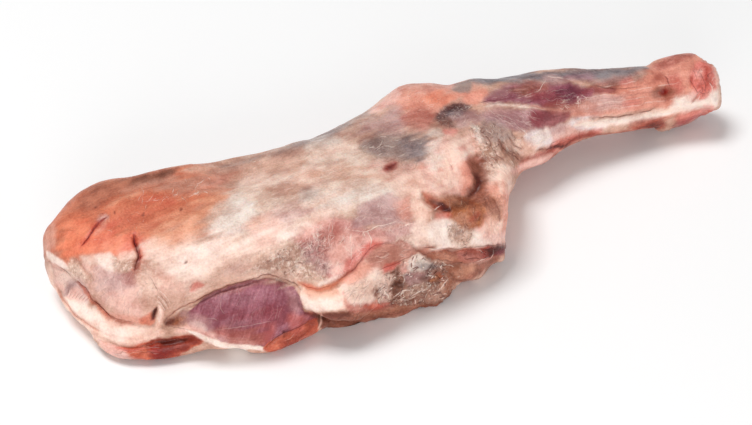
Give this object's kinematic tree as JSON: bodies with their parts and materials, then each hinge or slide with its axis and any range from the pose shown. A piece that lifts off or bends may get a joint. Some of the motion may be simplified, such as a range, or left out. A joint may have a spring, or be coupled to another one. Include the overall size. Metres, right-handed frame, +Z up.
{
  "type": "raw lamb shoulder",
  "caption": "Raw bone-in lamb shoulder with its foreshank: a thick slab of meat over the blade bone, narrowing to a round shank with a knuckle, lying on its flat inner side.",
  "frame": {"origin": "middle of the joint's box in plan, on the table it lies on", "axes": "+X along the joint from the blade end to the knuckle of the shank, +Y to the far side where the shank leaves the slab, +Z up from the table"},
  "size_m": [0.403, 0.1618, 0.0648],
  "materials": {
    "raw_lamb": "moist raw meat: cream fat and grey silverskin over pink, orange and purple muscle, satin to glossy"
  },
  "bodies": {
    "root": {"lamb_shoulder": "raw_lamb"}
  },
  "joints": []
}
